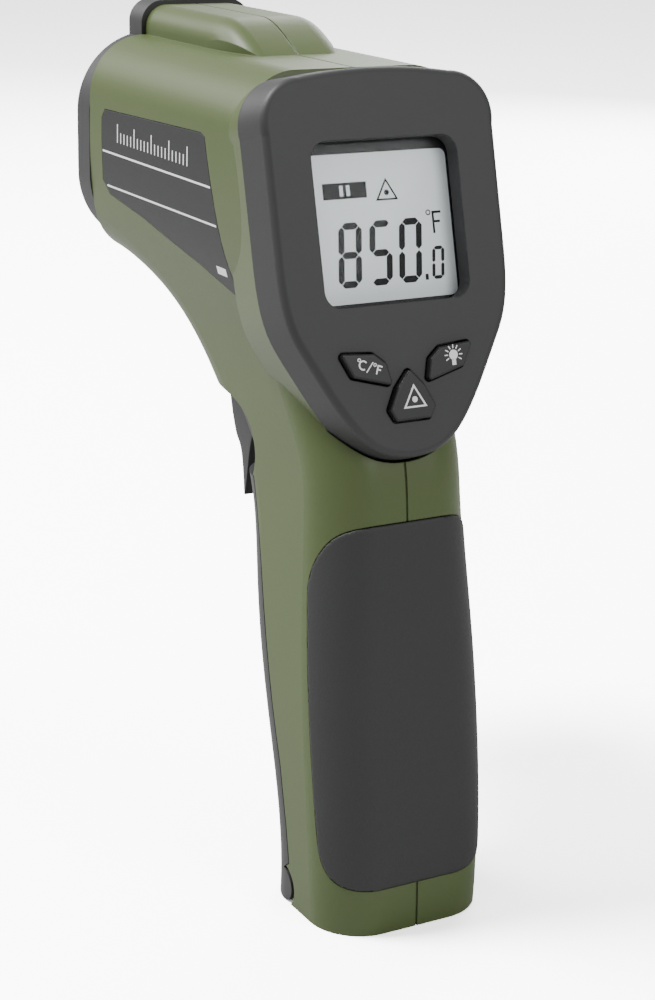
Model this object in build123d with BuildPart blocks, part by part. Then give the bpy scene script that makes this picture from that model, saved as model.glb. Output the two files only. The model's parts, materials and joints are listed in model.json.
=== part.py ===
"""Pistol-grip infrared thermometer, as an assembly of separate pieces.

Frame: +Z up, +Y towards the nose, +X to the right of a person reading the display.
The origin is the centre of the flat base of the handle. All sizes are in millimetres.
"""

import math
import os

from build123d import *

os.makedirs("parts", exist_ok=True)

# ---- Driving dimensions ----------------------------------------------------------------
WALL = 2.0  # moulded wall of the housing, bezel and cap
DOOR_WALL = 1.8
SLIT = 0.15  # gap around a part that is let into the housing
DOOR_GAP = 0.25
ROOF_CORNER, FLANK_CORNER = 11.0, 9.5  # rounding of the barrel's roof and of the handle

ROOF_Z, NOSE_FLOOR = 148.0, 106.8
NOSE_BACK, NOSE_FRONT = 77.2, 84.0  # the nose cap lies between these two planes
NOSE_HALF = 21.6
HUMP_HALF, HUMP_TOP = 10.6, 153.5  # the laser hump on the roof

DISPLAY_TILT = 14.7  # the display leans away from the reader
BEZEL_DEEP = 7.7
BEZEL_HALF, BEZEL_TOP, BEZEL_TIP = 22.1, 28.4, 37.0
BEZEL_FLARE = 0.8  # the back of the bezel is this much larger than its face
BEZEL_NECK = 110.0  # height where the back of the handle leaves the bezel's plane
BLEND_Z = 112.0  # the rounding of the handle's back ends here
COLLAR_DEEP, COLLAR_TAPER = 12.0, 2.0  # a tapered collar carries the bezel's outline into the flanks
FACE = 2.4  # thickness of the bezel's face
OPENING_W, OPENING_H, OPENING_V = 28.2, 27.6, 2.8  # the display opening and its height on the bezel

BOARD_NEAR, BOARD_FAR = 10.2, 11.8  # depth of the main board behind the bezel's face
KEY_TRAVEL = 0.8
KEY_GAP = 0.35
KEY_PROUD = 1.1
FLANGE = 0.6  # a key's flange reaches this far past its outline, behind the face

SIGHT_Z = 127.0  # axis of the infrared optics
LASER_Z = 147.6  # axis of the laser
TUBE_R, TUBE_BORE = 13.5, 12.0

HINGE = (5.5, 3.3)  # Y, Z of the battery door's hinge
KNUCKLE_R, HINGE_RELIEF_R = 3.2, 4.2
PIN_R = 1.0
RUNNING = 0.06  # radial clearance of a turning fit
EAR_R, EAR_IN, EAR_OUT = 3.0, 9.2, 12.8  # the housing's ears that hold the hinge pin
EAR_TRIM = 1.0  # taken off the underside of an ear's web, where the open door swings in
DOOR_TOP = 75.7
NOTCH_Z = 64.5  # the door's front wall stops here, below the trigger

PIVOT = (36.5, 96.5)  # Y, Z of the trigger's pin
TRIGGER_HALF = 8.5

CELL_R, CELL_LENGTH, CELL_X = 5.25, 44.5, 5.6  # AAA cells, side by side
CELL_FOOT = (5.4, 16.5)  # Y, Z of the lower end of the cells' axes
CELL_LEAN = 0.2

SCREW_R, SCREW_HEAD_R, SCREW_HEAD = 1.1, 2.1, 1.6
BOSS_R = 3.0
RIB = 1.6
SNUG = 0.04  # clearance of parts that are fixed together
PAD_DEEP, LABEL_DEEP = 1.1, 0.5  # depth of the recesses for the grip pad and the labels
CAP_PROUD = 0.8
LIP = -3.0  # the cap's locating lip, measured from the nose outline
LASER_R, LASER_WINDOW_R = 3.2, 2.6
LASER_BACK, LASER_FRONT = 52.5, 73.2
SENSOR_R = 4.6
TUBE_BACK, LENS_Y = 50.0, 66.0
BOARD = 1.6
WINDOW_DEPTH = 3.3  # depth of the display's clear window
LCD_V = 1.8
STEM_END = 5.6
POSTS = [(u, v) for u in (-17.8, 17.8) for v in (1, 15)]
ARM_Z, SHELF_Z = 100.0, 107.0  # the return spring stands between the trigger's arm and this shelf
SPRING_ROOM, PLATE = 5.0, 0.35  # battery contacts
WIRE_R = 0.55
SCREW_SPOTS = [(67.0, 109.9), (31.0, 141.0), (1.0, 72.0), (-5.0, 8.0)]
SCREW_HEAD_X = [17.4, 19.6, 13.6, 14.6]

tilt = math.radians(DISPLAY_TILT)
DISPLAY = Plane(origin=(0, 0.6, 121.5), x_dir=(1, 0, 0), z_dir=(0, -math.cos(tilt), math.sin(tilt)))
SIDE = Plane.YZ  # local x is Y and local y is Z
CELL_PLANE = Plane(origin=(0, *CELL_FOOT), x_dir=(1, 0, 0), z_dir=(0, CELL_LEAN, 1))


def finish(name, solid):
    """Label a finished piece and write it as its own STEP file."""
    solid.part.label = name
    export_step(solid.part, f"parts/{name}.step")


# ---- Shared outlines ---------------------------------------------------------------------
def bezel_back(z, behind=0.0):
    """Y of the plane behind the bezel, at a height."""
    y = 0.6 + BEZEL_DEEP * math.cos(tilt)
    return y + math.tan(tilt) * (z - 121.5 + BEZEL_DEEP * math.sin(tilt)) - behind


def form(grow, behind=0.0, ahead=0.0):
    """The housing's outer form offset outwards by grow: a side profile crossed with a front one."""
    roof = ROOF_Z + grow
    nose = NOSE_BACK + ahead
    toe, heel = (14.2 + grow, -grow), (-14.2 - grow, -grow)
    neck = (bezel_back(BEZEL_NECK, behind), BEZEL_NECK)
    with BuildPart() as solid:
        with BuildSketch(SIDE):
            with BuildLine():
                Line(heel, toe)
                Spline(
                    toe,
                    (13.4 + grow, 10),
                    (17.6 + grow, 30),
                    (25.3 + grow, 57),
                    (31.6 + grow * 0.9, 75.5 - grow * 0.2),
                    (38.5 + grow * 0.8, 83 - grow * 0.6),
                    (46 + grow * 0.8, 91.8 - grow * 0.6),
                    (54.3 + grow * 0.6, 99.8 - grow * 0.8),
                    (64 + grow * 0.3, 104.3 - grow),
                    (nose, NOSE_FLOOR - grow),
                )
                Polyline((nose, NOSE_FLOOR - grow), (nose, roof), (bezel_back(roof, behind), roof), neck)
                Spline(
                    neck,
                    (-1.3 - grow, 93),
                    (-5.2 - grow, 84),
                    (-6.7 - grow, 74),
                    (-10.6 - grow, 41),
                    (-14 - grow, 9),
                    heel,
                )
            make_face()
        extrude(amount=40, both=True)
        with BuildSketch(Plane.XZ.offset(-100)):
            with BuildLine():
                flank = [
                    (16.3 + grow, -grow),
                    (16.95 + grow, 24),
                    (16.5 + grow, 50),
                    (14.9 + grow, 78),
                    (15.4 + grow, 91),
                    (18.9 + grow, 107),
                    (21.4 + grow, 115.5),
                    (22.3 + grow, 125),
                    (22.2 + grow, 137),
                    (21.4 + grow, roof),
                ]
                Spline(*flank)
                Spline(*[(-x, z) for x, z in flank])
                Line(flank[0], (-flank[0][0], flank[0][1]))
                Line(flank[-1], (-flank[-1][0], flank[-1][1]))
            make_face()
        extrude(amount=200, mode=Mode.INTERSECT)
        for spot, corner in (((46, ROOF_Z), ROOF_CORNER), ((29, 66), FLANK_CORNER)):
            fillet(long_edges(solid, spot), corner + grow)
    with BuildPart() as barrel:
        add(solid.part)
        with Locations((0, 0, BLEND_Z)):
            Box(100, 300, 100, align=(Align.CENTER, Align.CENTER, Align.MIN), mode=Mode.INTERSECT)
    # the corners of the handle's back are rounded as well, and the barrel keeps its full rear edge
    with BuildPart() as whole:
        add(solid.part)
        fillet(long_edges(whole, (-8, 52)), FLANK_CORNER + grow)
        add(barrel.part)
    return whole.part


def long_edges(solid, spot):
    """The pair of long edges, left and right, nearest to a (Y, Z) spot."""
    pair = solid.edges().filter_by(lambda edge: abs(edge.center().X) > 12 and edge.length > 30)
    return pair.sort_by(lambda edge: math.dist(spot, (edge.center().Y, edge.center().Z)))[:2]


def hump(grow, y_front):
    """The laser hump: level behind the nose, then sinking into the roof."""
    half = HUMP_HALF + grow
    top = HUMP_TOP + grow
    with BuildPart() as solid:
        with BuildSketch(SIDE):
            with BuildLine():
                Line((50, top), (y_front, top))
                Line((y_front, top), (y_front, 143))
                Line((y_front, 143), (30 - grow, 143))
                Spline(
                    (30 - grow, 143),
                    (35.2 - grow, 147.9),
                    (42 - grow * 0.5, 151.6 + grow),
                    (50, top),
                    tangents=[(0.6, 1), (1, 0)],
                )
            make_face()
        extrude(amount=half, both=True)
        fillet(solid.faces().sort_by(Axis.Z)[-1].edges().filter_by(Axis.Y), 4.2 + grow * 0.5)
        with BuildSketch(Plane.XY.offset(140)):
            with BuildLine():
                Line((-half, y_front), (half, y_front))
                Line((half, y_front), (half, 50))
                Spline((half, 50), (half * 0.86, 39.5 - grow), (0, 31.5 - grow), tangents=[(0, -1), (-1, 0)])
                Spline((0, 31.5 - grow), (-half * 0.86, 39.5 - grow), (-half, 50), tangents=[(-1, 0), (0, 1)])
                Line((-half, 50), (-half, y_front))
            make_face()
        extrude(amount=30, mode=Mode.INTERSECT)
    return solid.part


def shield(grow):
    """The bezel's outline: an arched top, straight sides and a rounded point below."""
    side = BEZEL_HALF + grow
    shoulder = (20.4 + grow * 0.8, 24.6 + grow * 0.6)
    arch = (14.5, 27.3 + grow)
    hip = (18.0 + grow * 0.85, -19.9 - grow * 0.5)
    knee = (11.4 + grow * 0.6, -30.9 - grow * 0.8)
    tip = (0, -BEZEL_TIP - grow)
    with BuildSketch() as outline:
        with BuildLine():
            Line((0, BEZEL_TOP + grow), tip)
            Spline(tip, knee, hip, (side, -3), tangents=[(1, 0), (0, 1)])
            Line((side, -3), (side, 18))
            ThreePointArc((side, 18), shoulder, arch)
            ThreePointArc(arch, (7.5, BEZEL_TOP - 0.28 + grow), (0, BEZEL_TOP + grow))
        make_face()
        mirror(about=Plane.YZ)
    return outline.sketch


def nose_outline(grow):
    """The nose cap's outline in X and Z: a rounded body with the laser hump on top."""
    side = NOSE_HALF + grow
    knee = side - 4.1
    bump = HUMP_HALF + grow
    with BuildSketch() as outline:
        with BuildLine():
            Line((0, HUMP_TOP + grow), (0, NOSE_FLOOR - grow))
            ThreePointArc((0, NOSE_FLOOR - grow), (4, NOSE_FLOOR + 0.2 - grow), (8, 107.7 - grow))
            ThreePointArc((8, 107.7 - grow), (knee, 112.1 - grow * 0.7), (side, 122))
            Line((side, 122), (side, 133))
            ThreePointArc((side, 133), (knee, 142.9 + grow * 0.7), (bump, 146.9 + grow * 0.8))
            Line((bump, 146.9 + grow * 0.8), (bump, 149.2 + grow * 0.7))
            shoulder = (bump - 1.25, HUMP_TOP - 1.25 + grow)
            ThreePointArc((bump, 149.2 + grow * 0.7), shoulder, (bump - 4.2, HUMP_TOP + grow))
            Line((bump - 4.2, HUMP_TOP + grow), (0, HUMP_TOP + grow))
        make_face()
        mirror(about=Plane.YZ)
    return outline.sketch


def across(points, half=40.0):
    """A side-profile outline of (Y, Z) points, extruded both ways across X."""
    with BuildPart() as solid:
        with BuildSketch(SIDE):
            with BuildLine():
                Polyline(*points, close=True)
            make_face()
        extrude(amount=half, both=True)
    return solid.part


def rod(spot, radius, x_from, x_to):
    """A round bar along X, centred on a (Y, Z) spot."""
    with BuildPart() as solid:
        with BuildSketch(SIDE.offset(x_from)):
            with Locations(spot):
                Circle(radius)
        extrude(amount=x_to - x_from)
    return solid.part


def slab(outline, near, far):
    """An outline drawn on the display's plane, extruded between two depths behind its face."""
    with BuildPart() as solid:
        with BuildSketch(DISPLAY.offset(-far)):
            add(outline)
        extrude(amount=far - near)
    return solid.part


def panel(w, h, v, near, far, corner=0.6, u=0.0):
    """A rounded rectangular block parallel to the display."""
    with BuildSketch() as outline:
        with Locations((u, v)):
            RectangleRounded(w, h, corner)
    return slab(outline.sketch, near, far)


def barrel_disc(radius, y_from, y_to, bore=0.0, z=SIGHT_Z):
    """A disc or ring along Y."""
    with BuildPart() as solid:
        with BuildSketch(Plane(origin=(0, y_from, z), x_dir=(1, 0, 0), z_dir=(0, 1, 0))):
            Circle(radius)
            if bore:
                Circle(bore, mode=Mode.SUBTRACT)
        extrude(amount=y_to - y_from)
    return solid.part


# ---- Regions of the handle -----------------------------------------------------------------
DOOR_SPLIT = [
    (22.1, DOOR_TOP),
    (19.5, 68.1),
    (17.2, 61.3),
    (14.1, 50.9),
    (9.9, 36.7),
    (6.5, 26.2),
    (4.2, 15.4),
    (3.2, 8.2),
]


def door_region(gap):
    """The front of the handle that the battery door takes up, grown by gap."""
    split = [(y - gap, z) for y, z in DOOR_SPLIT]
    split[0] = (split[0][0], DOOR_TOP + gap)
    return across([*split, (HINGE[0] - gap, 6.4), (HINGE[0] - gap, -5), (60, -5), (60, DOOR_TOP + gap)])


def pad_region(gap):
    """The back of the handle that the grip pad takes up, shrunk by gap."""
    with BuildPart() as solid:
        with BuildSketch(SIDE):
            with BuildLine():
                low, high = (-6.4 - gap, 19), (-0.2 - gap, 60)
                crown, foot = (-9, 74.2 - gap), (-15, 8.4 + gap)
                Line(low, high)
                Spline(high, (-2.2 - gap * 0.8, 69.3 - gap * 0.6), crown, tangents=[(0.15, 1), (-1, 0.1)])
                Polyline(crown, (-30, 74.2 - gap), (-30, 8.4 + gap), foot)
                Spline(foot, (-8.6 - gap, 11.6 + gap), low, tangents=[(1, 0.1), (0.15, 1)])
            make_face()
        extrude(amount=40, both=True)
    return solid.part


def scoop():
    """The finger scoop cut from both flanks and from the front, above the door."""
    with BuildPart() as solid:
        with BuildSketch(SIDE):
            with BuildLine():
                Polyline((22.3, DOOR_TOP + DOOR_GAP), (60, DOOR_TOP + DOOR_GAP), (60, 88.6), (44, 89.3))
                Spline((44, 89.3), (31.9, 88.9), (23.9, 85.2), (21.6, 80.5), (22.3, DOOR_TOP + DOOR_GAP))
            make_face()
        extrude(amount=40, both=True)
    return solid.part


def label_region(gap):
    """The label's area on the flank, shrunk by gap."""
    top = [(71.4, 133.6), (70, 135.3), (28.9, 136.4), (27.3, 135.9)]
    bottom = [(17.8, 108.7), (31.9, 112.6), (53.1, 117.1), (68.6, 119.5), (71.4, 121.8)]
    with BuildPart() as solid:
        with BuildSketch(SIDE):
            with BuildLine():
                Polyline(*top, *bottom, close=True)
            make_face()
            if gap:
                offset(amount=-gap)
        extrude(amount=40, both=True)
    return solid.part


# ---- Housing ---------------------------------------------------------------------------------
with BuildPart() as collar:
    with BuildSketch(DISPLAY.offset(-BEZEL_DEEP)):
        add(shield(BEZEL_FLARE))
    with BuildSketch(DISPLAY.offset(-BEZEL_DEEP - COLLAR_DEEP)):
        add(shield(BEZEL_FLARE - COLLAR_TAPER))
    loft()

outer = form(0)
rib_blank = form(-WALL / 2)
bezel_pocket = slab(shield(BEZEL_FLARE + SLIT), -12, BEZEL_DEEP)

with BuildPart() as seam_groove:
    Box(0.4, 260, 400)
    add(form(-0.35, behind=1, ahead=1), mode=Mode.SUBTRACT)
    add(hump(-0.35, NOSE_BACK + 1), mode=Mode.SUBTRACT)

with BuildPart() as ribs:
    # two frames that hold the lens barrel and the laser
    for rib_y in (57.0, 70.2):
        with BuildSketch(Plane.XZ.offset(-rib_y)):
            with Locations((0, 130)):
                Rectangle(60, 60)
            with Locations((0, SIGHT_Z)):
                Circle(TUBE_R + 0.05, mode=Mode.SUBTRACT)
            with Locations((0, LASER_Z)):
                Circle(LASER_R + 0.05, mode=Mode.SUBTRACT)
            with Locations((0, 106)):
                Rectangle(14, 9, mode=Mode.SUBTRACT)
        extrude(amount=-RIB)

with BuildPart() as housing:
    add(outer)
    add(collar.part)
    add(hump(0, NOSE_BACK))
    add(form(-WALL, behind=1, ahead=1), mode=Mode.SUBTRACT)
    add(hump(-WALL, NOSE_BACK + 1), mode=Mode.SUBTRACT)
    add(ribs.part & rib_blank)
    for spot in SCREW_SPOTS:
        add(rod(spot, BOSS_R, -24, 24) & rib_blank)
    for side in (-1, 1):
        add(rod(PIVOT, BOSS_R, side * 9.2, side * 24) & rib_blank)
    add(across([(26.5, SHELF_Z), (33.5, SHELF_Z), (33.5, SHELF_Z + 2), (26.5, SHELF_Z + 2)]) & rib_blank)
    add(door_region(DOOR_GAP), mode=Mode.SUBTRACT)
    add(rod(HINGE, HINGE_RELIEF_R, -40, 40), mode=Mode.SUBTRACT)
    for ear_x in (-EAR_OUT, EAR_IN):
        with BuildSketch(SIDE.offset(ear_x)):
            with Locations(HINGE):
                Circle(EAR_R)
            with Locations((HINGE[0], HINGE[1] + EAR_TRIM / 2)):
                Rectangle(10, 2 * EAR_R - EAR_TRIM, align=(Align.MAX, Align.CENTER))
        extrude(amount=EAR_OUT - EAR_IN)
    add(scoop(), mode=Mode.SUBTRACT)
    add(across([(30, 86), (47.6, 86), (47.6, 95), (30, 95)], TRIGGER_HALF + 0.7), mode=Mode.SUBTRACT)
    add(bezel_pocket, mode=Mode.SUBTRACT)
    add(slab(shield(-WALL - 0.2), -12, BOARD_FAR + 1.5), mode=Mode.SUBTRACT)
    add(pad_region(0) - form(-PAD_DEEP, behind=1, ahead=1), mode=Mode.SUBTRACT)
    add(label_region(0) - form(-LABEL_DEEP, behind=1, ahead=1), mode=Mode.SUBTRACT)
    add(seam_groove.part, mode=Mode.SUBTRACT)
    for spot, head_x in zip(SCREW_SPOTS, SCREW_HEAD_X):
        add(rod(spot, SCREW_R, -9, 30), mode=Mode.SUBTRACT)
        add(rod(spot, SCREW_HEAD_R + 0.1, head_x - SCREW_HEAD, 30), mode=Mode.SUBTRACT)
    add(rod(HINGE, PIN_R + SNUG, -EAR_OUT - 1, EAR_OUT + 1), mode=Mode.SUBTRACT)
    add(rod(PIVOT, PIN_R + SNUG, -13, 13), mode=Mode.SUBTRACT)

with BuildPart() as left_housing:
    add(housing.part)
    split(bisect_by=Plane.YZ, keep=Keep.BOTTOM)
finish("left_housing", left_housing)

with BuildPart() as right_housing:
    add(housing.part)
    split(bisect_by=Plane.YZ, keep=Keep.TOP)
finish("right_housing", right_housing)

with BuildPart() as housing_screws:
    for spot, head_x in zip(SCREW_SPOTS, SCREW_HEAD_X):
        add(rod(spot, SCREW_R - SNUG, -8.5, head_x - SCREW_HEAD))
        add(rod(spot, SCREW_HEAD_R, head_x - SCREW_HEAD, head_x - 0.2))
        with Locations((head_x - 0.2, *spot)):
            Box(1.2, 2.6, 0.5, mode=Mode.SUBTRACT)
            Box(1.2, 0.5, 2.6, mode=Mode.SUBTRACT)
finish("housing_screws", housing_screws)

with BuildPart() as grip_pad:
    add(form(0.3))
    add(form(SLIT - PAD_DEEP, behind=1, ahead=1), mode=Mode.SUBTRACT)
    add(pad_region(SLIT), mode=Mode.INTERSECT)
finish("grip_pad", grip_pad)

with BuildPart() as both_labels:
    add(outer)
    add(form(0.04 - LABEL_DEEP, behind=1, ahead=1), mode=Mode.SUBTRACT)
    add(label_region(0.12), mode=Mode.INTERSECT)

for name, keep in (("left_label", Keep.BOTTOM), ("right_label", Keep.TOP)):
    with BuildPart() as label:
        add(both_labels.part)
        split(bisect_by=Plane.YZ, keep=keep)
    finish(name, label)

# ---- Nose ------------------------------------------------------------------------------------
with BuildPart() as nose_cap:
    with BuildSketch(Plane.XZ.offset(-NOSE_FRONT)):
        add(nose_outline(CAP_PROUD))
    extrude(amount=NOSE_FRONT - NOSE_BACK)
    fillet(nose_cap.faces().sort_by(Axis.Y)[-1].edges(), 1.2)
    with BuildSketch(Plane.XZ.offset(-NOSE_FRONT + WALL)):
        add(nose_outline(CAP_PROUD - WALL))
    extrude(amount=20, mode=Mode.SUBTRACT)
    # a lip that locates the cap inside the housing
    with BuildSketch(Plane.XZ.offset(-NOSE_FRONT + WALL)):
        add(nose_outline(LIP))
        add(nose_outline(LIP - 1.2), mode=Mode.SUBTRACT)
    extrude(amount=8.5)
    with BuildSketch(Plane.XZ.offset(-NOSE_FRONT + WALL)):
        add(nose_outline(CAP_PROUD - WALL + 0.1))
        add(nose_outline(LIP - 1.2), mode=Mode.SUBTRACT)
    extrude(amount=2)
    add(barrel_disc(TUBE_R + 2, NOSE_FRONT - 5, NOSE_FRONT - 1))
    add(barrel_disc(TUBE_R + 0.05, 60, 90), mode=Mode.SUBTRACT)
    add(barrel_disc(LASER_WINDOW_R + 1.2, NOSE_FRONT - 4, NOSE_FRONT - 1, z=LASER_Z))
    add(barrel_disc(LASER_WINDOW_R - 0.5, 60, 90, z=LASER_Z), mode=Mode.SUBTRACT)
    add(barrel_disc(LASER_WINDOW_R + SNUG, 60, NOSE_FRONT - 1, z=LASER_Z), mode=Mode.SUBTRACT)
finish("nose_cap", nose_cap)

with BuildPart() as laser_window:
    add(barrel_disc(LASER_WINDOW_R, NOSE_FRONT - 2.2, NOSE_FRONT - 1, z=LASER_Z))
finish("laser_window", laser_window)

with BuildPart() as laser_module:
    add(barrel_disc(LASER_R, 58, LASER_FRONT, z=LASER_Z))
    add(barrel_disc(LASER_R - 0.8, LASER_BACK, 58, z=LASER_Z))
    add(barrel_disc(1.1, LASER_FRONT - 2, LASER_FRONT + 1, z=LASER_Z), mode=Mode.SUBTRACT)
    chamfer(laser_module.faces().sort_by(Axis.Y)[-1].outer_wire().edges(), 0.4)
finish("laser_module", laser_module)

with BuildPart() as lens_barrel:
    add(barrel_disc(TUBE_R, TUBE_BACK, NOSE_FRONT - 0.8, bore=TUBE_BORE))
    add(barrel_disc(TUBE_BORE + 0.5, LENS_Y - 1.5, LENS_Y, bore=TUBE_BORE - 1.2))
    # anti-glare steps towards the mouth
    for step in range(3):
        y = LENS_Y + 5 + 3 * step
        add(barrel_disc(TUBE_BORE + 0.5, y, y + 0.8, bore=TUBE_BORE - 0.5))
finish("lens_barrel", lens_barrel)

with BuildPart() as fresnel_lens:
    add(barrel_disc(TUBE_BORE - SNUG, LENS_Y, LENS_Y + 1.4))
    for groove in range(1, 6):
        radius = 1.8 * groove
        add(barrel_disc(radius + 0.3, LENS_Y + 1.1, LENS_Y + 2, bore=radius), mode=Mode.SUBTRACT)
finish("fresnel_lens", fresnel_lens)

with BuildPart() as lens_ring:
    add(barrel_disc(TUBE_BORE - SNUG, LENS_Y + 1.4, LENS_Y + 3, bore=TUBE_BORE - 1.3))
finish("lens_ring", lens_ring)

with BuildPart() as sensor_block:
    add(barrel_disc(TUBE_BORE - SNUG, TUBE_BACK, TUBE_BACK + 7, bore=SENSOR_R + 0.1))
    chamfer(sensor_block.faces().sort_by(Axis.Y)[-1].outer_wire().edges(), 0.6)
finish("sensor_block", sensor_block)

with BuildPart() as thermopile_sensor:
    add(barrel_disc(SENSOR_R, TUBE_BACK, TUBE_BACK + 4.2))
    fillet(thermopile_sensor.faces().sort_by(Axis.Y)[-1].edges(), 0.6)
    add(barrel_disc(2, TUBE_BACK + 4, TUBE_BACK + 6), mode=Mode.SUBTRACT)
finish("thermopile_sensor", thermopile_sensor)

with BuildPart() as sensor_board:
    with BuildSketch(Plane.XZ.offset(-TUBE_BACK)):
        with Locations((0, SIGHT_Z)):
            RectangleRounded(23, 23, 2)
            with GridLocations(18, 18, 2, 2):
                Circle(1.1, mode=Mode.SUBTRACT)
    extrude(amount=BOARD)
finish("sensor_board", sensor_board)

# ---- Display ---------------------------------------------------------------------------------
WING = [(12.9, -18.5), (6.5, -19.0), (4.3, -20.8), (3.4, -24.6), (10.8, -22.6)]


def key_outline(key, grow=0.0):
    """Outline of a key: two wings either side of a rounded, pick-shaped one."""
    with BuildSketch() as outline:
        with BuildLine():
            if key == "laser_key":
                half = [(0, -22.1), (2.7, -25.1), (4.5, -28.7), (3.4, -30.7)]
                Polyline(*half, *[(-u, v) for u, v in reversed(half[1:])], close=True)
            else:
                side = -1 if key == "unit_key" else 1
                Polyline(*[(side * u, v) for u, v in WING], close=True)
        make_face()
        fillet(outline.vertices(), 0.5)
        if grow:
            offset(amount=grow)
    return outline.sketch


KEYS = {"unit_key": (-8.2, -21.2), "laser_key": (0, -27.4), "light_key": (8.2, -21.2)}

with BuildPart() as display_bezel:
    with BuildSketch(DISPLAY.offset(-BEZEL_DEEP)):
        add(shield(BEZEL_FLARE))
    with BuildSketch(DISPLAY):
        add(shield(0))
    loft()
    fillet(display_bezel.faces().filter_by(DISPLAY).sort_by(Axis.Y)[0].edges(), 1.3)
    add(slab(shield(-WALL), FACE, BEZEL_DEEP + 1), mode=Mode.SUBTRACT)
    add(panel(OPENING_W + 2.4, OPENING_H + 2.4, OPENING_V, FACE - 0.5, WINDOW_DEPTH, 4.2))
    add(panel(OPENING_W, OPENING_H, OPENING_V, -1, 5, 3.0), mode=Mode.SUBTRACT)
    for key in KEYS:
        add(slab(key_outline(key, KEY_GAP), -2, FACE + 1), mode=Mode.SUBTRACT)
    with BuildSketch(DISPLAY.offset(-BOARD_NEAR)):
        with Locations(*POSTS):
            Circle(1.5)
    extrude(amount=BOARD_NEAR - FACE + 0.5)
    with BuildSketch(DISPLAY.offset(-BOARD_NEAR)):
        with Locations(*POSTS):
            Circle(0.8)
    extrude(amount=5, mode=Mode.SUBTRACT)
finish("display_bezel", display_bezel)

for key, (u, v) in KEYS.items():
    with BuildPart() as button:
        add(slab(key_outline(key), -KEY_PROUD, FACE + 0.5))
        fillet(button.faces().filter_by(DISPLAY).sort_by(Axis.Y)[0].edges(), 0.35)
        add(slab(key_outline(key, FLANGE), FACE + 0.15, FACE + 0.8))
        with BuildSketch(DISPLAY.offset(-STEM_END)):
            with Locations((u, v)):
                Circle(1.5)
        extrude(amount=STEM_END - FACE - 0.4)
    finish(key, button)

with BuildPart() as key_switches:
    for u, v in KEYS.values():
        add(panel(5, 5, v, BOARD_NEAR - 2.4, BOARD_NEAR, 0.4, u=u))
        with BuildSketch(DISPLAY.offset(-BOARD_NEAR + 2.4)):
            with Locations((u, v)):
                Circle(1.3)
        extrude(amount=BOARD_NEAR - 2.4 - STEM_END - KEY_TRAVEL - 0.1)
finish("key_switches", key_switches)

with BuildPart() as lcd_window:
    add(panel(29.8, 29.2, OPENING_V, WINDOW_DEPTH + 0.05, WINDOW_DEPTH + 0.9, 2))
finish("lcd_window", lcd_window)

with BuildPart() as lcd_panel:
    add(panel(29.8, 31.4, LCD_V, WINDOW_DEPTH + 0.95, WINDOW_DEPTH + 2.8))
finish("lcd_panel", lcd_panel)

with BuildPart() as backlight_panel:
    add(panel(29.6, 28.4, LCD_V + 1.5, WINDOW_DEPTH + 2.85, WINDOW_DEPTH + 4.8))
finish("backlight_panel", backlight_panel)

with BuildPart() as zebra_connector:
    add(panel(28, 2, LCD_V - 14.5, WINDOW_DEPTH + 2.85, BOARD_NEAR - 0.02, 0.3))
finish("zebra_connector", zebra_connector)

with BuildPart() as lcd_frame:
    add(panel(32, 33.6, LCD_V, WINDOW_DEPTH + 0.05, BOARD_NEAR - 0.02, 2.4))
    add(panel(30.2, 31.8, LCD_V, 0, 20, 0.5), mode=Mode.SUBTRACT)
finish("lcd_frame", lcd_frame)

with BuildPart() as main_board:
    with BuildSketch(DISPLAY.offset(-BOARD_FAR)):
        with BuildLine():
            right = [(19.2, 19), (19.2, -1), (14.5, -11), (9, -27), (4, -31)]
            Polyline(*right, *[(-u, v) for u, v in reversed(right)], close=True)
        make_face()
        with Locations(*POSTS):
            Circle(0.9, mode=Mode.SUBTRACT)
    extrude(amount=BOARD_FAR - BOARD_NEAR)
finish("main_board", main_board)

with BuildPart() as board_screws:
    with BuildSketch(DISPLAY.offset(-BOARD_FAR - 1)):
        with Locations(*POSTS):
            Circle(1.35)
    extrude(amount=1)
    with BuildSketch(DISPLAY.offset(-BOARD_FAR)):
        with Locations(*POSTS):
            Circle(0.75)
    extrude(amount=5.5)
    with BuildSketch(DISPLAY.offset(-BOARD_FAR - 1)):
        with Locations(*POSTS):
            Rectangle(1.8, 0.4)
            Rectangle(0.4, 1.8)
    extrude(amount=0.6, mode=Mode.SUBTRACT)
finish("board_screws", board_screws)

CHIPS = [(-7, 9, 9, 9, 1.4), (6, 12, 5, 6, 1.2), (9, 2, 4, 3, 1), (-9, -5, 3, 5, 1), (-3, -2, 2, 3, 0.8)]

with BuildPart() as control_chips:
    for u, v, w, h, thick in CHIPS:
        add(panel(w, h, v, BOARD_FAR, BOARD_FAR + thick, 0.2, u=u))
finish("control_chips", control_chips)

with BuildPart() as buzzer:
    with BuildSketch(DISPLAY.offset(-BOARD_FAR - 4.5)):
        with Locations((-4, -12.5)):
            Circle(5)
            Circle(0.9, mode=Mode.SUBTRACT)
    extrude(amount=4.5)
finish("buzzer", buzzer)

# ---- Battery compartment ---------------------------------------------------------------------
with BuildPart() as battery_tray:
    with BuildSketch(CELL_PLANE.offset(-SPRING_ROOM - 1.6)):
        with Locations((0, -2.7)):
            RectangleRounded(24.4, 8.4, 1)
    extrude(amount=CELL_LENGTH + 2 * SPRING_ROOM + 3.2)
    left_bay = (-CELL_X, -SPRING_ROOM, CELL_LENGTH + PLATE)
    right_bay = (CELL_X, -PLATE, CELL_LENGTH + SPRING_ROOM)
    for x, low, high in (left_bay, right_bay):
        with BuildSketch(CELL_PLANE.offset(low)):
            with Locations((x, 0)):
                Circle(CELL_R + 0.15)
        extrude(amount=high - low, mode=Mode.SUBTRACT)
finish("battery_tray", battery_tray)

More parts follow.
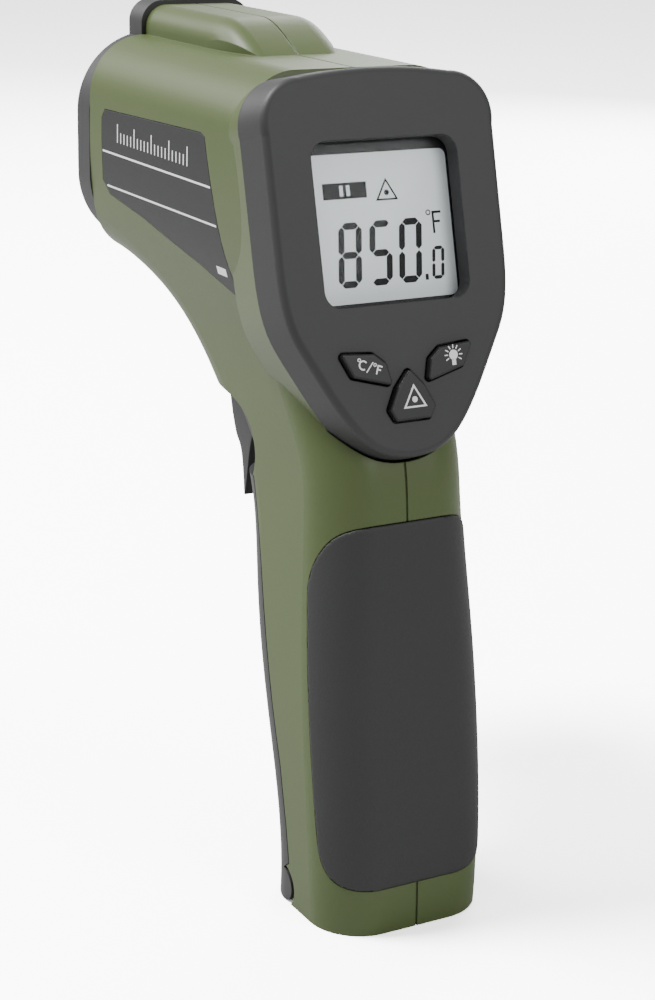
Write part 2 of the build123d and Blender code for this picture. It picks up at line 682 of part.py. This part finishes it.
for name, x, nub_at in (("battery_1", -CELL_X, CELL_LENGTH - 1), ("battery_2", CELL_X, 0)):
    body_at = 1 if nub_at == 0 else 0
    with BuildPart() as cell:
        with BuildSketch(CELL_PLANE.offset(body_at)):
            with Locations((x, 0)):
                Circle(CELL_R)
        extrude(amount=CELL_LENGTH - 1)
        fillet(cell.edges().filter_by(GeomType.CIRCLE), 0.5)
        with BuildSketch(CELL_PLANE.offset(nub_at)):
            with Locations((x, 0)):
                Circle(1.9)
        extrude(amount=1)
    finish(name, cell)

with BuildPart() as spring_contacts:
    for x, start in ((-CELL_X, -SPRING_ROOM + 0.4), (CELL_X, CELL_LENGTH + 0.5)):
        coil_plane = Plane(origin=CELL_PLANE.from_local_coords((x, 0, start)), z_dir=CELL_PLANE.z_dir)
        with BuildLine(coil_plane):
            coil = Helix(pitch=1.25, height=SPRING_ROOM - 1.1, radius=3)
        with BuildSketch(Plane(origin=coil @ 0, z_dir=coil % 0)):
            Circle(0.3)
        sweep(path=coil, is_frenet=True)
finish("spring_contacts", spring_contacts)

with BuildPart() as plate_contacts:
    for x, start in ((-CELL_X, CELL_LENGTH), (CELL_X, -PLATE)):
        with BuildSketch(CELL_PLANE.offset(start)):
            with Locations((x, 0)):
                Circle(4)
        extrude(amount=PLATE)
finish("plate_contacts", plate_contacts)

with BuildPart() as battery_door:
    add(outer)
    add(form(-DOOR_WALL), mode=Mode.SUBTRACT)
    add(rod(HINGE, KNUCKLE_R, -EAR_IN + 0.25, EAR_IN - 0.25))
    add(door_region(0) + rod(HINGE, KNUCKLE_R, -40, 40), mode=Mode.INTERSECT)
    for ear_x in (-EAR_OUT - 0.25, EAR_IN - 0.25):
        add(rod(HINGE, EAR_R + 0.6, ear_x, ear_x + EAR_OUT - EAR_IN + 0.5), mode=Mode.SUBTRACT)
    add(across([(15, NOTCH_Z), (60, NOTCH_Z), (60, 90), (15, 90)], TRIGGER_HALF + 0.8), mode=Mode.SUBTRACT)
    add(rod(HINGE, PIN_R + RUNNING, -EAR_IN, EAR_IN), mode=Mode.SUBTRACT)
finish("battery_door", battery_door)

with BuildPart() as door_hinge_pin:
    add(rod(HINGE, PIN_R, -EAR_OUT, EAR_OUT))
finish("door_hinge_pin", door_hinge_pin)

# ---- Trigger ---------------------------------------------------------------------------------
with BuildPart() as trigger:
    with BuildSketch(SIDE):
        with BuildLine():
            face = [(44.3, 95.5), (46.4, 90.5), (46.1, 84.6), (43.1, 76.8), (40.1, 67.1)]
            Spline(*face, tangents=[(0.4, -1), (-0.1, -1)])
            Line((40.1, 67.1), (38, 66.9))
            Spline((38, 66.9), (36.9, 72), (35.2, 79), (31.6, 85.5), (30.4, 91))
            Polyline((30.4, 91), (27.4, 96), (27.4, ARM_Z), (34, ARM_Z), face[0])
        make_face()
    extrude(amount=TRIGGER_HALF, both=True)
    front = trigger.edges().filter_by(lambda edge: abs(edge.center().X) > 8 and edge.length > 20)
    fillet(front.sort_by(Axis.Y)[-2:], 2.4)
    add(rod(PIVOT, PIN_R + RUNNING, -20, 20), mode=Mode.SUBTRACT)
finish("trigger", trigger)

with BuildPart() as trigger_pin:
    add(rod(PIVOT, PIN_R, -12.5, 12.5))
finish("trigger_pin", trigger_pin)

with BuildPart() as trigger_spring:
    with BuildLine(Plane(origin=(0, 30, ARM_Z + 0.45), z_dir=(0, 0, 1))):
        spring_coil = Helix(pitch=1.3, height=SHELF_Z - ARM_Z - 0.9, radius=2)
    with BuildSketch(Plane(origin=spring_coil @ 0, z_dir=spring_coil % 0)):
        Circle(0.28)
    sweep(path=spring_coil, is_frenet=True)
finish("trigger_spring", trigger_spring)

with BuildPart() as trigger_well:
    add(form(-WALL - 0.2))
    add(across([(17.5, 64.5), (45, 64.5), (45, 92), (28, 92), (26, 93), (17.5, 93)], 12.6), mode=Mode.INTERSECT)
    add(across([(19, 60), (24, 60), (24, 100), (19, 100)], 11), mode=Mode.SUBTRACT)
    slot = [(25.5, 98), (25.5, 79), (29, 71), (30.6, 60), (60, 60), (60, 98)]
    add(across(slot, TRIGGER_HALF + 0.5), mode=Mode.SUBTRACT)
finish("trigger_well", trigger_well)

with BuildPart() as trigger_switch:
    with BuildSketch(Plane.XZ.offset(-25.5)):
        with Locations((0, 86)):
            Rectangle(6.4, 6.4)
    extrude(amount=-3)
    with BuildSketch(Plane.XZ.offset(-28.5)):
        with Locations((0, 86)):
            Circle(1.2)
    extrude(amount=-1.2)
finish("trigger_switch", trigger_switch)


# ---- Wiring ----------------------------------------------------------------------------------
def wires(name, spread, *points):
    """A pair of insulated wires that run side by side through (X, Y, Z) points."""
    with BuildPart() as pair:
        for shift in (-spread / 2, spread / 2):
            with BuildLine():
                run = Spline(*[(x + shift, y, z) for x, y, z in points])
            with BuildSketch(Plane(origin=run @ 0, z_dir=run % 0)):
                Circle(WIRE_R)
            sweep(path=run)
    finish(name, pair)


wires("battery_wires", 2, (0, 13.5, 68.7), (0, 11.5, 78), (0, 8, 88), (0, 9.5, 95), (0, 8.2, 98.6))
wires("sensor_wires", 2, (0, 48.2, 119), (0, 42, 118), (0, 30, 121), (0, 17, 124), (0, 13.6, 122.5))
laser_tail = (0, LASER_BACK - 0.2, LASER_Z)
wires("laser_wires", 1.6, laser_tail, (0, 44, 142), (0, 36, 136), (0, 24, 134), (0, 17, 132))
wires("switch_wires", 1.6, (4.5, 26.5, 91), (4.5, 25, 95), (5, 18, 101), (5, 11.6, 105))
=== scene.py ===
"""Looks of the infrared thermometer: materials, display marks, key symbols, label print and studio."""

import json
import math

import bmesh
import bpy
from mathutils import Matrix, Vector
from mathutils.bvhtree import BVHTree


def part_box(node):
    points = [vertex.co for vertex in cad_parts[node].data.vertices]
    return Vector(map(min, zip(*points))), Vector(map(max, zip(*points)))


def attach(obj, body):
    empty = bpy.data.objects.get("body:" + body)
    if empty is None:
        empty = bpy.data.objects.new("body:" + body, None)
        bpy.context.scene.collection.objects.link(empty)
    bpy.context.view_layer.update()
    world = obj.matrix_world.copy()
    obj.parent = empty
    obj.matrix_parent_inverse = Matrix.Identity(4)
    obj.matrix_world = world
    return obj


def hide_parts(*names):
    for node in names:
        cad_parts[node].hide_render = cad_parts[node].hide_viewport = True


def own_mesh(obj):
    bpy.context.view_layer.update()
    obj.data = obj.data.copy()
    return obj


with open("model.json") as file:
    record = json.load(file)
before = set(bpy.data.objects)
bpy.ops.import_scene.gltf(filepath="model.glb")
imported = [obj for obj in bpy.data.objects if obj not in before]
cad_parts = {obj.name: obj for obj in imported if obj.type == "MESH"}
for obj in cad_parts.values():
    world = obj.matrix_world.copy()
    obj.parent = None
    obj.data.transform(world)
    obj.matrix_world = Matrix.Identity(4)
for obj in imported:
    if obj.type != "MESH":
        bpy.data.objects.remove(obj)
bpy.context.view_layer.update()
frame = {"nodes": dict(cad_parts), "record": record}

MM = 0.001
TILT = math.radians(14.7)  # the display leans back by this much
DISPLAY_ORIGIN = Vector((0, 0.6, 121.5)) * MM
DISPLAY_UP = Vector((0, math.sin(TILT), math.cos(TILT)))
DISPLAY_OUT = Vector((0, -math.cos(TILT), math.sin(TILT)))
INK = 0.05  # thickness of a printed mark, in millimetres
CAMERA_SPOT = Vector((-0.1865, -0.3117, 0.1897))
CAMERA_AIM = Vector((-0.0094, 0.0046, 0.0755))
CAMERA_ROLL = 1.2  # degrees
FOCAL_LENGTH = 79


# ---- Materials -----------------------------------------------------------------------------
def shader(name, color, rough, metallic=0.0, grain=0.0, grain_size=0.25, mottle=0.06, edge=0.25, coat=0.0, ior=1.38):
    """A moulded or machined surface: colour drift, fine grain, and softly rounded edges."""
    material = bpy.data.materials.new(name)
    material.use_nodes = True
    nodes = material.node_tree.nodes
    links = material.node_tree.links
    surface = nodes["Principled BSDF"]
    surface.inputs["Metallic"].default_value = metallic
    surface.inputs["IOR"].default_value = ior
    surface.inputs["Coat Weight"].default_value = coat
    surface.inputs["Coat Roughness"].default_value = 0.2
    place = nodes.new("ShaderNodeTexCoord")

    drift = nodes.new("ShaderNodeTexNoise")
    drift.inputs["Scale"].default_value = 45
    drift.inputs["Detail"].default_value = 4
    links.new(place.outputs["Object"], drift.inputs["Vector"])
    shade = nodes.new("ShaderNodeMapRange")
    shade.inputs["To Min"].default_value = 1 - mottle
    shade.inputs["To Max"].default_value = 1 + mottle
    links.new(drift.outputs["Fac"], shade.inputs["Value"])
    tint = nodes.new("ShaderNodeVectorMath")
    tint.operation = "SCALE"
    tint.inputs[0].default_value = color[:3]
    links.new(shade.outputs["Result"], tint.inputs["Scale"])
    links.new(tint.outputs["Vector"], surface.inputs["Base Color"])

    speck = nodes.new("ShaderNodeTexNoise")
    speck.inputs["Scale"].default_value = 1 / (grain_size * MM)
    speck.inputs["Detail"].default_value = 3
    links.new(place.outputs["Object"], speck.inputs["Vector"])
    gloss = nodes.new("ShaderNodeMapRange")
    gloss.inputs["To Min"].default_value = max(0.02, rough - 0.06)
    gloss.inputs["To Max"].default_value = min(1.0, rough + 0.06)
    links.new(speck.outputs["Fac"], gloss.inputs["Value"])
    links.new(gloss.outputs["Result"], surface.inputs["Roughness"])

    bump = nodes.new("ShaderNodeBump")
    bump.inputs["Strength"].default_value = grain
    bump.inputs["Distance"].default_value = 0.05 * MM
    links.new(speck.outputs["Fac"], bump.inputs["Height"])
    if edge:
        rounded = nodes.new("ShaderNodeBevel")
        rounded.samples = 4
        rounded.inputs["Radius"].default_value = edge * MM
        links.new(rounded.outputs["Normal"], bump.inputs["Normal"])
    links.new(bump.outputs["Normal"], surface.inputs["Normal"])
    return material


def clear_shader(name, mirror=0.35):
    """A clear cover: light passes straight through, with a faint reflection."""
    material = bpy.data.materials.new(name)
    material.use_nodes = True
    nodes = material.node_tree.nodes
    links = material.node_tree.links
    nodes.remove(nodes["Principled BSDF"])
    see = nodes.new("ShaderNodeBsdfTransparent")
    see.inputs["Color"].default_value = (0.97, 0.98, 0.98, 1)
    shine = nodes.new("ShaderNodeBsdfGlossy")
    shine.inputs["Roughness"].default_value = 0.04
    haze = nodes.new("ShaderNodeTexNoise")
    haze.inputs["Scale"].default_value = 60
    rim = nodes.new("ShaderNodeFresnel")
    rim.inputs["IOR"].default_value = 1.45
    share = nodes.new("ShaderNodeMath")
    share.operation = "MULTIPLY"
    share.inputs[1].default_value = mirror
    links.new(rim.outputs["Fac"], share.inputs[0])
    spread = nodes.new("ShaderNodeMapRange")
    spread.inputs["To Min"].default_value = 0.02
    spread.inputs["To Max"].default_value = 0.08
    links.new(haze.outputs["Fac"], spread.inputs["Value"])
    links.new(spread.outputs["Result"], shine.inputs["Roughness"])
    mix = nodes.new("ShaderNodeMixShader")
    links.new(share.outputs["Value"], mix.inputs["Fac"])
    links.new(see.outputs["BSDF"], mix.inputs[1])
    links.new(shine.outputs["BSDF"], mix.inputs[2])
    links.new(mix.outputs["Shader"], nodes["Material Output"].inputs["Surface"])
    return material


def wire_shader(name):
    """Vinyl covering, red on one wire of a pair and black on the other."""
    material = shader(name, (0.4, 0.03, 0.02), 0.4, mottle=0.05)
    nodes = material.node_tree.nodes
    links = material.node_tree.links
    island = nodes.new("ShaderNodeNewGeometry")
    ramp = nodes.new("ShaderNodeValToRGB")
    ramp.color_ramp.interpolation = "CONSTANT"
    ramp.color_ramp.elements[0].color = (0.45, 0.02, 0.015, 1)
    ramp.color_ramp.elements[1].position = 0.5
    ramp.color_ramp.elements[1].color = (0.02, 0.02, 0.02, 1)
    links.new(island.outputs["Random Per Island"], ramp.inputs["Fac"])
    links.new(ramp.outputs["Color"], nodes["Principled BSDF"].inputs["Base Color"])
    return material


def cell_shader(name, low, high):
    """A cell's printed sleeve: a dark jacket with a copper-coloured band at its positive end."""
    material = shader(name, (0.03, 0.03, 0.032), 0.28, coat=0.4, mottle=0.04)
    nodes = material.node_tree.nodes
    links = material.node_tree.links
    place = nodes.new("ShaderNodeTexCoord")
    split = nodes.new("ShaderNodeSeparateXYZ")
    links.new(place.outputs["Object"], split.inputs["Vector"])
    along = nodes.new("ShaderNodeMapRange")
    along.inputs["From Min"].default_value = low
    along.inputs["From Max"].default_value = high
    links.new(split.outputs["Z"], along.inputs["Value"])
    ramp = nodes.new("ShaderNodeValToRGB")
    ramp.color_ramp.interpolation = "CONSTANT"
    ramp.color_ramp.elements[0].color = (0.03, 0.03, 0.032, 1)
    ramp.color_ramp.elements[1].position = 0.7
    ramp.color_ramp.elements[1].color = (0.55, 0.28, 0.12, 1)
    links.new(along.outputs["Result"], ramp.inputs["Fac"])
    links.new(ramp.outputs["Color"], nodes["Principled BSDF"].inputs["Base Color"])
    return material


GREEN = shader("housing_green", (0.066, 0.09, 0.03), 0.42, grain=0.10, grain_size=0.35, mottle=0.035)
TRIM = shader("trim_plastic", (0.033, 0.033, 0.0335), 0.5, grain=0.22, grain_size=0.3, mottle=0.05)
DARK = shader("dark_plastic", (0.018, 0.018, 0.019), 0.55, grain=0.2, mottle=0.08)
KEY = shader("key_plastic", (0.018, 0.018, 0.0185), 0.42, grain=0.15, grain_size=0.2, mottle=0.05)
RUBBER = shader("pad_rubber", (0.028, 0.028, 0.0285), 0.6, grain=0.45, grain_size=0.4, mottle=0.06)
LABEL = shader("label_film", (0.018, 0.018, 0.0187), 0.5, grain=0.12, grain_size=0.15, mottle=0.03)
LCD = shader("display_glass", (0.93, 0.96, 0.98), 0.35, mottle=0.03, edge=0.1)
LCD_INK = shader("display_ink", (0.02, 0.0205, 0.021), 0.9, mottle=0.1, edge=0)
INK_WHITE = shader("white_print", (0.82, 0.82, 0.82), 0.5, grain=0.1, mottle=0.03, edge=0)
BOARD = shader("circuit_board", (0.02, 0.14, 0.06), 0.3, grain=0.3, grain_size=0.6, mottle=0.2)
STEEL = shader("screw_steel", (0.55, 0.55, 0.56), 0.28, metallic=1, grain=0.1, mottle=0.08, edge=0.08)
SPRING = shader("spring_steel", (0.62, 0.61, 0.6), 0.22, metallic=1, grain=0.08, mottle=0.06, edge=0.02)
BRASS = shader("laser_brass", (0.7, 0.5, 0.22), 0.25, metallic=1, grain=0.15, mottle=0.08)
SENSOR = shader("sensor_metal", (0.62, 0.62, 0.63), 0.3, metallic=1, grain=0.12, mottle=0.06)
EPOXY = shader("black_epoxy", (0.02, 0.02, 0.021), 0.5, grain=0.3, mottle=0.1)
WHITE = shader("white_plastic", (0.75, 0.75, 0.72), 0.4, grain=0.1)
BLACK_RUBBER = shader("black_rubber", (0.016, 0.016, 0.016), 0.7, grain=0.3)
LENS = shader("lens_plastic", (0.42, 0.42, 0.41), 0.3, coat=0.3, mottle=0.05, edge=0.05)
CLEAR = clear_shader("clear_plastic", 0.12)
WIRE = wire_shader("wire_cover")

SLOT_MATERIALS = {
    "housing_green": GREEN,
    "trim_plastic": TRIM,
    "dark_plastic": DARK,
    "key_plastic": KEY,
    "pad_rubber": RUBBER,
    "label_film": LABEL,
    "display_glass": LCD,
    "circuit_board": BOARD,
    "screw_steel": STEEL,
    "spring_steel": SPRING,
    "laser_brass": BRASS,
    "sensor_metal": SENSOR,
    "black_epoxy": EPOXY,
    "white_plastic": WHITE,
    "black_rubber": BLACK_RUBBER,
    "lens_plastic": LENS,
    "clear_plastic": CLEAR,
    "wire_cover": WIRE,
}


def dress_frame():
    """Give every CAD node the material of its slot."""
    for part in frame["record"]["subparts"]:
        node, slot = part["node"], part["material_slot"]
        if slot == "cell_jacket":
            low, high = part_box(node)
            ends = (low[2], high[2]) if node == "battery_1" else (high[2], low[2])
            material = cell_shader("cell_jacket_" + node, *ends)
        else:
            material = SLOT_MATERIALS[slot]
        piece = frame["nodes"][node]
        piece.data.materials.clear()
        piece.data.materials.append(material)


# ---- Flat marks ------------------------------------------------------------------------------
def on_display(depth):
    """Places (u, v, lift) millimetres on the display plane, at a depth behind its face."""

    def place(u, v, lift):
        return DISPLAY_ORIGIN + (Vector((u, 0, 0)) + DISPLAY_UP * v + DISPLAY_OUT * (lift - depth)) * MM

    return place


def on_flank(node, side):
    """Places (y, z, lift) millimetres on a flank, where a sideways ray meets the label."""
    source = frame["nodes"][node]
    tree = BVHTree.FromObject(source, bpy.context.evaluated_depsgraph_get())

    def place(y, z, lift):
        start = Vector((side * 60, y, z)) * MM
        hit = tree.ray_cast(start, Vector((-side, 0, 0)))[0]
        x = hit.x if hit is not None else side * 21.5 * MM
        return Vector((x + side * lift * MM, start.y, start.z))

    return place


def print_marks(name, shapes, place, material, body, thick=INK):
    """Turn flat outlines into one thin raised print."""
    mesh = bpy.data.meshes.new(name)
    build = bmesh.new()
    for outline in shapes:
        low = [build.verts.new(place(a, b, 0.005)) for a, b in outline]
        high = [build.verts.new(place(a, b, 0.005 + thick)) for a, b in outline]
        build.faces.new(high)
        build.faces.new(list(reversed(low)))
        for i in range(len(outline)):
            j = (i + 1) % len(outline)
            build.faces.new((low[i], low[j], high[j], high[i]))
    bmesh.ops.recalc_face_normals(build, faces=build.faces)
    build.to_mesh(mesh)
    build.free()
    piece = bpy.data.objects.new(name, mesh)
    bpy.context.scene.collection.objects.link(piece)
    mesh.materials.append(material)
    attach(piece, body)
    return piece


def band(points, width, closed=False):
    """Quads that follow a polyline with mitred corners."""
    count = len(points)
    pairs = []
    for i in range(count):
        here = Vector(points[i])
        before = Vector(points[i - 1]) if closed or i else here
        after = Vector(points[(i + 1) % count]) if closed or i < count - 1 else here
        back = (here - before).normalized() if here != before else (after - here).normalized()
        ahead = (after - here).normalized() if after != here else back
        normal = Vector((-(back + ahead).y, (back + ahead).x)).normalized()
        square = Vector((-ahead.y, ahead.x))
        reach = width / 2 / max(0.35, normal.dot(square))
        pairs.append((here + normal * reach, here - normal * reach))
    last = count if closed else count - 1
    quads = []
    for i in range(last):
        (a, b), (c, d) = pairs[i], pairs[(i + 1) % count]
        quads.append([tuple(a), tuple(b), tuple(d), tuple(c)])
    return quads


def arc(center, radius, start=0.0, turn=360.0, steps=24):
    """Points round an arc, in degrees."""
    whole = abs(turn) >= 360
    total = steps if whole else steps + 1
    angles = [math.radians(start + turn * i / steps) for i in range(total)]
    return [(center[0] + radius * math.cos(t), center[1] + radius * math.sin(t)) for t in angles]


def rounded_box(left, low, right, high, radius):
    """A rectangle with round corners."""
    points = []
    for x, y, start in (
        (right - radius, high - radius, 0),
        (left + radius, high - radius, 90),
        (left + radius, low + radius, 180),
        (right - radius, low + radius, 270),
    ):
        points += arc((x, y), radius, start, 90, 5)
    return points


def box(left, low, right, high):
    return [(left, low), (right, low), (right, high), (left, high)]


# ---- Display ---------------------------------------------------------------------------------
SEGMENTS = {0: "abcdef", 5: "acdfg", 8: "abcdefg"}
LEAN = math.tan(math.radians(6))


def digit(value, left, low, width, height, stroke):
    """One seven-segment numeral, as pointed bars that lean a little."""
    half = stroke / 2
    gap = stroke * 0.09
    x0, x1 = left + half, left + width - half
    y0, y1, y2 = low + half, low + height / 2, low + height - half
    ends = {
        "a": ((x0, y2), (x1, y2)),
        "b": ((x1, y1), (x1, y2)),
        "c": ((x1, y0), (x1, y1)),
        "d": ((x0, y0), (x1, y0)),
        "e": ((x0, y0), (x0, y1)),
        "f": ((x0, y1), (x0, y2)),
        "g": ((x0, y1), (x1, y1)),
    }
    shapes = []
    for key in SEGMENTS[value]:
        start, end = Vector(ends[key][0]), Vector(ends[key][1])
        along = (end - start).normalized()
        side = Vector((-along.y, along.x)) * half
        start += along * gap
        end -= along * gap
        tip = along * half
        bar = [start, start + tip - side, end - tip - side, end, end - tip + side, start + tip + side]
        shapes.append([(p.x + (p.y - low) * LEAN, p.y) for p in bar])
    return shapes


def pointer_triangle(center, size, stroke):
    """The pointer symbol: a triangle outline round a dot."""
    u, v = center
    corners = [(u, v + size * 0.62), (u + size * 0.6, v - size * 0.42), (u - size * 0.6, v - size * 0.42)]
    return band(corners, stroke, closed=True) + [arc((u, v - size * 0.06), size * 0.15)]


def turned(shape, center, angle, shift):
    """An outline turned about a centre, in degrees, then shifted."""
    c, s = math.cos(math.radians(angle)), math.sin(math.radians(angle))
    moved = []
    for a, b in shape:
        da, db = a - center[0], b - center[1]
        moved.append((center[0] + c * da - s * db + shift[0], center[1] + s * da + c * db + shift[1]))
    return moved


def degree(center, radius, stroke):
    return band(arc(center, radius, steps=18), stroke, closed=True)


def letter_c(center, radius, stroke):
    return band(arc(center, radius, 50, 260, 16), stroke)


def letter_f(left, low, width, height, stroke):
    """The unit letter F as three bars."""
    top, middle = low + height, low + height * 0.53
    bars = [box(left, low, left + stroke, top)]
    bars.append(box(left + stroke, top - stroke, left + width, top))
    bars.append(box(left + stroke, middle - stroke / 2, left + width * 0.85, middle + stroke / 2))
    return bars


def display_marks():
    """Everything that the liquid-crystal display shows."""
    panel = on_display(4.25)
    shapes = []
    for value, left in ((8, -9.1), (5, -3.1), (0, 2.7)):
        shapes += digit(value, left, -7.7, 4.5, 10.9, 1.15)
    shapes += digit(0, 9.3, -7.5, 2.4, 5.6, 0.6)
    shapes.append(box(8.0, -7.5, 8.6, -6.5))
    # held reading: a dark tab with two upright bars left clear
    tab_left, tab_right, tab_low, tab_high = -10.3, -1.9, 7.2, 9.9
    bars = ((-7.1, -6.4), (-5.8, -5.1))
    edges = [tab_left, bars[0][0], bars[0][1], bars[1][0], bars[1][1], tab_right]
    for i in range(0, len(edges), 2):
        shapes.append(box(edges[i], tab_low, edges[i + 1], tab_high))
    for left, right in bars:
        shapes.append(box(left, tab_low, right, tab_low + 0.45))
        shapes.append(box(left, tab_high - 0.45, right, tab_high))
    shapes += pointer_triangle((1.95, 8.0), 3.2, 0.3)
    shapes += degree((9.7, 3.9), 0.4, 0.18)
    shapes += letter_f(10.4, 0.3, 1.8, 3.8, 0.4)
    print_marks("display_segments", shapes, panel, LCD_INK, "body", 0.02)
    # the window's dark printed border
    inner = rounded_box(-13.6, -10.4, 14.2, 14.7, 1.3)
    outer = rounded_box(-14.8, -11.7, 14.8, 17.3, 0.5)
    border = []
    for i in range(len(inner)):
        j = (i + 1) % len(inner)
        border.append([inner[i], inner[j], outer[j], outer[i]])
    print_marks("display_border", border, on_display(4.22), DARK, "body", 0.01)


def key_symbols():
    """White symbols printed on the three keys."""
    face = on_display(-1.1)
    low = -21.7
    units = degree((-10.7, low + 1.45), 0.24, 0.15) + letter_c((-9.75, low + 0.8), 0.72, 0.26)
    units += band([(-8.85, low - 0.2), (-8.05, low + 1.8)], 0.2)
    units += degree((-7.6, low + 1.45), 0.24, 0.15) + letter_f(-7.1, low, 0.95, 1.6, 0.26)
    units = [turned(shape, (-8.7, -20.9), -20, (0.75, -0.15)) for shape in units]
    print_marks("unit_key_symbol", units, face, INK_WHITE, "unit_key")
    pointer = pointer_triangle((0.3, -27.1), 3.4, 0.3)
    print_marks("laser_key_symbol", pointer, face, INK_WHITE, "laser_key")
    u, v = 8.7, -20.6
    lamp = [arc((u, v), 0.85, steps=20), box(u - 0.38, v - 1.75, u + 0.38, v - 0.7)]
    for k in range(9):
        ray = Vector((math.cos(math.radians(30 * k - 30)), math.sin(math.radians(30 * k - 30))))
        lamp += band([(u + 1.1 * ray.x, v + 1.1 * ray.y), (u + 1.75 * ray.x, v + 1.75 * ray.y)], 0.2)
    print_marks("light_key_symbol", lamp, face, INK_WHITE, "light_key")


def label_marks():
    """Plain white rules and a tick scale on each side label."""
    for side, node in ((-1, "left_label"), (1, "right_label")):
        place = on_flank(node, side)
        shapes = [box(24.9, 127.3, 70.9, 127.65), box(22.9, 120.9, 69.4, 121.25)]
        for i in range(21):
            y = 34 + 1.5 * i
            tall = 3.4 if i % 5 == 0 else 1.9
            shapes.append(box(y - 0.17, 129.8, y + 0.17, 129.8 + tall))
        shapes.append(box(21.4, 112.4, 25.0, 113.8))
        print_marks(node + "_print", shapes, place, INK_WHITE, "body", 0.03)


# ---- Soft grip pad ---------------------------------------------------------------------------
def soft_pad():
    """The rubber pad, remeshed so that its edges roll over softly."""
    source = frame["nodes"]["grip_pad"]
    pad = bpy.data.objects.new("grip_pad_skin", source.data.copy())
    bpy.context.scene.collection.objects.link(pad)
    remesh = pad.modifiers.new("even", "REMESH")
    remesh.mode = "VOXEL"
    remesh.voxel_size = 0.3 * MM
    relax = pad.modifiers.new("relax", "SMOOTH")
    relax.factor = 0.5
    relax.iterations = 8
    bpy.context.view_layer.update()
    shape = pad.evaluated_get(bpy.context.evaluated_depsgraph_get())
    pad.data = bpy.data.meshes.new_from_object(shape)
    pad.modifiers.clear()
    pad.data.materials.clear()
    pad.data.materials.append(RUBBER)
    pad.data.shade_smooth()
    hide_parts("grip_pad")
    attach(pad, "body")


def return_spring():
    """The trigger's return spring, copied from the CAD part in spring steel and fixed to the body."""
    source = frame["nodes"]["trigger_spring"]
    spring = bpy.data.objects.new("return_spring", source.data.copy())
    bpy.context.scene.collection.objects.link(spring)
    spring.data.materials.clear()
    spring.data.materials.append(SPRING)
    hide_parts("trigger_spring")
    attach(spring, "body")
    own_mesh(spring)


# ---- Studio ----------------------------------------------------------------------------------
def softbox(name, spot, size, power, target=(0, 0.02, 0.08)):
    light = bpy.data.lights.new(name, "AREA")
    light.shape = "DISK"
    light.size = size
    light.energy = power
    lamp = bpy.data.objects.new(name, light)
    lamp.location = spot
    lamp.rotation_euler = (Vector(target) - Vector(spot)).to_track_quat("-Z", "Y").to_euler()
    bpy.context.scene.collection.objects.link(lamp)


def floor_shader():
    """White paper that the camera sees brighter than it lights the object."""
    material = shader("floor_paint", (0.5, 0.5, 0.5), 0.8, mottle=0.01)
    nodes = material.node_tree.nodes
    links = material.node_tree.links
    bright = nodes.new("ShaderNodeBsdfDiffuse")
    bright.inputs["Color"].default_value = (4.0, 4.0, 4.0, 1)
    path = nodes.new("ShaderNodeLightPath")
    mix = nodes.new("ShaderNodeMixShader")
    links.new(path.outputs["Is Camera Ray"], mix.inputs["Fac"])
    links.new(nodes["Principled BSDF"].outputs["BSDF"], mix.inputs[1])
    links.new(bright.outputs["BSDF"], mix.inputs[2])
    links.new(mix.outputs["Shader"], nodes["Material Output"].inputs["Surface"])
    return material


def studio():
    """A pale floor under soft white light, and the camera."""
    bpy.ops.mesh.primitive_plane_add(size=30, location=(0, 0, 0))
    floor = bpy.context.object
    floor.name = "floor"
    floor.data.materials.append(floor_shader())

    world = bpy.data.worlds.new("studio")
    world.use_nodes = True
    world.node_tree.nodes["Background"].inputs["Color"].default_value = (1, 1, 1, 1)
    world.node_tree.nodes["Background"].inputs["Strength"].default_value = 0.62
    nodes, links = world.node_tree.nodes, world.node_tree.links
    backdrop = nodes.new("ShaderNodeBackground")
    backdrop.inputs["Strength"].default_value = 4.5
    path = nodes.new("ShaderNodeLightPath")
    mix = nodes.new("ShaderNodeMixShader")
    links.new(path.outputs["Is Camera Ray"], mix.inputs["Fac"])
    links.new(nodes["Background"].outputs["Background"], mix.inputs[1])
    links.new(backdrop.outputs["Background"], mix.inputs[2])
    links.new(mix.outputs["Shader"], nodes["World Output"].inputs["Surface"])
    bpy.context.scene.world = world
    softbox("key_light", (-0.45, 0.3, 1.0), 0.32, 19)
    softbox("fill_light", (0.35, -0.9, 0.55), 0.5, 4.2)
    softbox("front_light", (0.7, 0.7, 0.5), 0.7, 6)
    softbox("rim_light", (-0.5, 0.8, 0.7), 0.6, 6)

    lens = bpy.data.cameras.new("camera")
    lens.lens = FOCAL_LENGTH
    lens.sensor_width = 36
    camera = bpy.data.objects.new("camera", lens)
    level = (CAMERA_AIM - CAMERA_SPOT).to_track_quat("-Z", "Y").to_matrix().to_4x4()
    roll = Matrix.Rotation(math.radians(CAMERA_ROLL), 4, "Z")
    camera.matrix_world = Matrix.Translation(CAMERA_SPOT) @ level @ roll
    bpy.context.scene.collection.objects.link(camera)
    bpy.context.scene.camera = camera


dress_frame()
display_marks()
key_symbols()
label_marks()
soft_pad()
return_spring()
studio()
